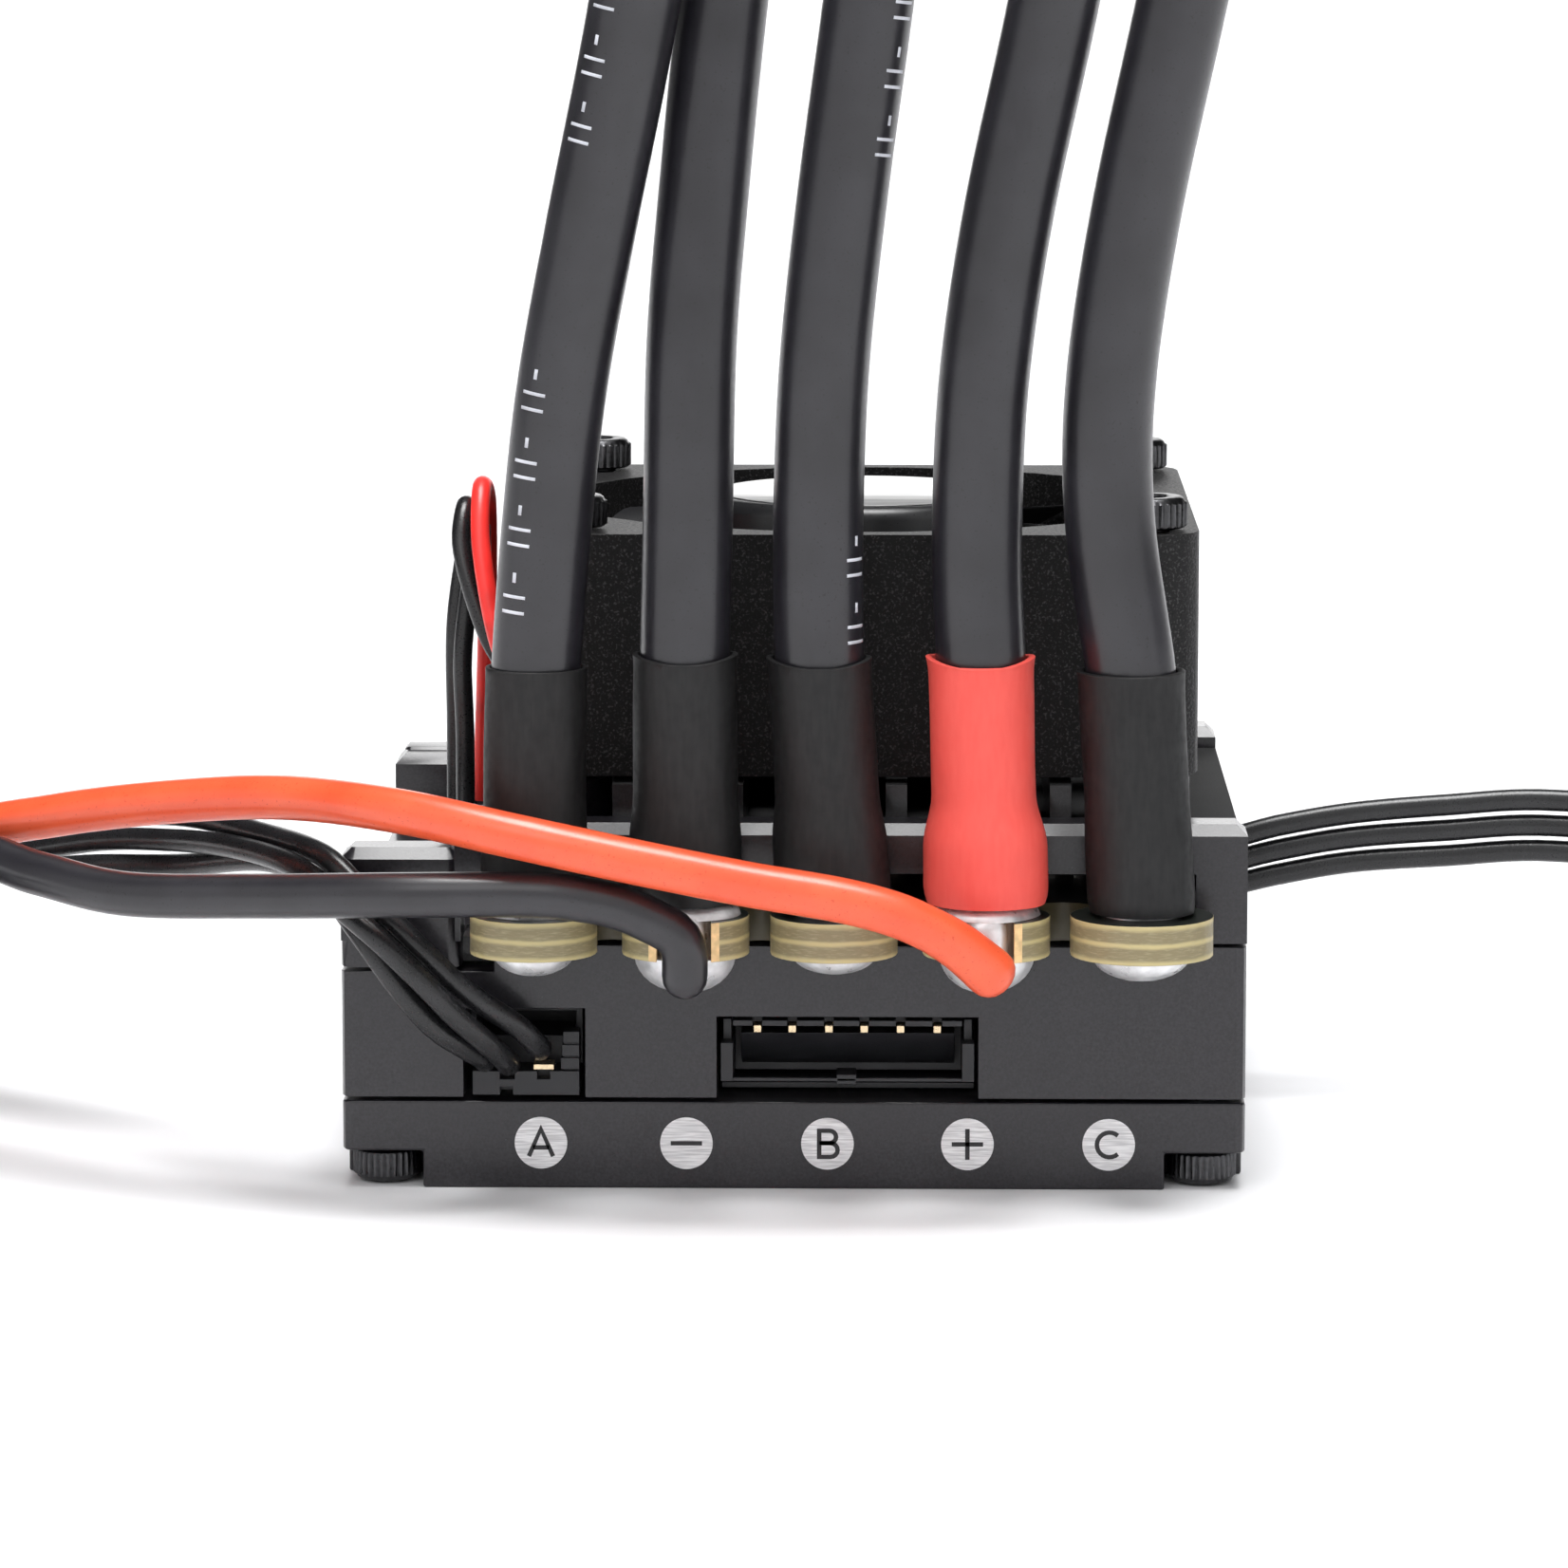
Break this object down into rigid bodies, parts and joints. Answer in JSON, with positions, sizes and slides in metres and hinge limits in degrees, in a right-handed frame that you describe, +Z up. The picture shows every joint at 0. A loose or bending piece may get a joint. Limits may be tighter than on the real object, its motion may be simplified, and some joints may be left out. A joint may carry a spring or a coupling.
{
  "type": "electronic speed controller",
  "caption": "Fan-cooled electronic speed controller in a black finned case, with solder posts carrying thick silicone wires, a sensor socket, a receiver lead and a switch lead.",
  "frame": {"origin": "midway along the controller's width and depth, on the surface it stands on", "axes": "+X to the right seen from the terminals, +Y from the terminals to the rear, +Z up"},
  "size_m": [0.1849, 0.0553, 0.1213],
  "materials": {
    "black_anodised": "black anodised, satin, fine bead-blasted grain",
    "blackened_steel": "blackened socket screws",
    "power_laminate": "olive glass-fibre board with a machined edge",
    "green_laminate": "green solder mask",
    "black_plastic": "moulded black plastic",
    "thermal_pad": "soft grey gap pad",
    "solder": "bright solder",
    "black_sleeve": "shrunk black tubing, dull",
    "red_sleeve": "shrunk red tubing, satin",
    "black_silicone": "satin black silicone",
    "red_silicone": "satin orange-red silicone",
    "capacitor_sleeve": "glossy shrink film",
    "button_grey": "grey push button",
    "fan_plastic": "spark-textured black plastic",
    "copper_coils": "lacquered copper wire"
  },
  "bodies": {
    "controller": {"base_plate": "black_anodised", "lower_case": "black_anodised", "top_cover": "black_anodised", "case_screw_1": "blackened_steel", "case_screw_2": "blackened_steel", "case_screw_3": "blackened_steel", "case_screw_4": "blackened_steel", "fan_screw_1": "blackened_steel", "fan_screw_2": "blackened_steel", "fan_screw_3": "blackened_steel", "fan_screw_4": "blackened_steel", "power_board": "power_laminate", "cap_board": "power_laminate", "control_board": "green_laminate", "board_link": "black_plastic", "transistor_a": "black_plastic", "transistor_b": "black_plastic", "transistor_c": "black_plastic", "sensor_socket": "black_plastic", "receiver_socket": "black_plastic", "receiver_plug": "black_plastic", "servo_plug": "black_plastic", "switch_case": "black_plastic", "fan_plug": "black_plastic", "thermal_pad": "thermal_pad", "solder_a": "solder", "solder_minus": "solder", "solder_b": "solder", "solder_plus": "solder", "solder_c": "solder", "sleeve_a": "black_sleeve", "sleeve_minus": "black_sleeve", "sleeve_b": "black_sleeve", "sleeve_c": "black_sleeve", "sleeve_plus": "red_sleeve", "wire_a": "black_silicone", "wire_minus": "black_silicone", "wire_b": "black_silicone", "wire_plus": "black_silicone", "wire_c": "black_silicone", "cap_lead_minus": "black_silicone", "fan_wire_black": "black_silicone", "fan_wire_signal": "black_silicone", "receiver_lead_1": "black_silicone", "receiver_lead_2": "black_silicone", "receiver_lead_3": "black_silicone", "switch_lead_1": "black_silicone", "switch_lead_2": "black_silicone", "switch_lead_3": "black_silicone", "cap_lead_plus": "red_silicone", "fan_wire_red": "red_silicone", "capacitor_1": "capacitor_sleeve", "capacitor_2": "capacitor_sleeve", "fan_frame": "fan_plastic", "fan_stator": "copper_coils"},
    "fan_rotor_body": {"fan_rotor": "fan_plastic"},
    "button_body": {"switch_button": "button_grey"}
  },
  "joints": [
    {"name": "fan_spin", "type": "hinge", "parent": "controller", "child": "fan_rotor_body", "pos_m": [0.0032, 0.0048, 0.028], "axis": [0, 0, 1], "continuous": true},
    {"name": "button_press", "type": "slide", "parent": "controller", "child": "button_body", "axis": [0, 0, -1], "range_m": [0, 0.0008], "stiffness_N_per_m": 400, "springref_m": -0.0005}
  ]
}
